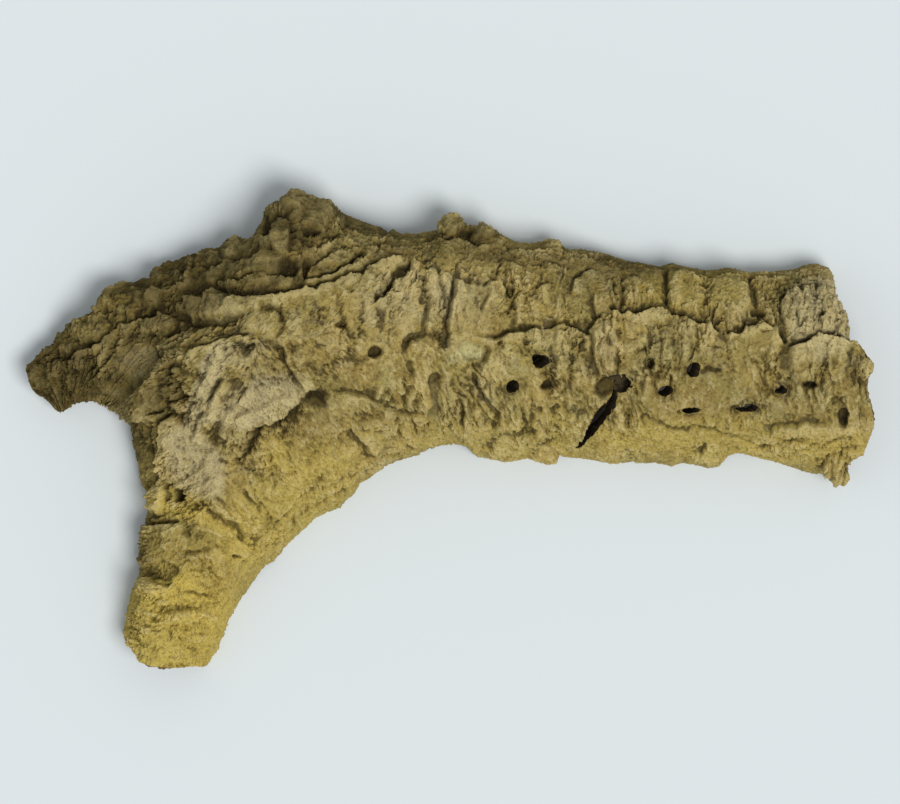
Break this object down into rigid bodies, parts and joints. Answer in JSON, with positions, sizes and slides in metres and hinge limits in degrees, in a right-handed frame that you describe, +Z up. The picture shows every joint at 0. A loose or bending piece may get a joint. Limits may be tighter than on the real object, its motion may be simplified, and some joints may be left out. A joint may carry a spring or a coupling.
{
  "type": "cork bark cave",
  "caption": "Forked length of hollow cork bark lying open side down as a shelter, with rough ridged bark, open ends, insect borings and a long split.",
  "frame": {"origin": "middle of the overall box in plan, on the ground plane that the rim rests on", "axes": "+X along the trunk from the fork to its open end, +Y towards the back edge, +Z up"},
  "size_m": [0.5198, 0.29, 0.088],
  "materials": {
    "bark_trunk": "dry matt cork bark, crumbly, olive brown",
    "bark_back_limb": "dry matt cork bark, crumbly, dark brown",
    "bark_front_limb": "dry matt cork bark, crumbly, ochre"
  },
  "bodies": {
    "root": {"trunk": "bark_trunk", "back_limb": "bark_back_limb", "front_limb": "bark_front_limb"}
  },
  "joints": []
}
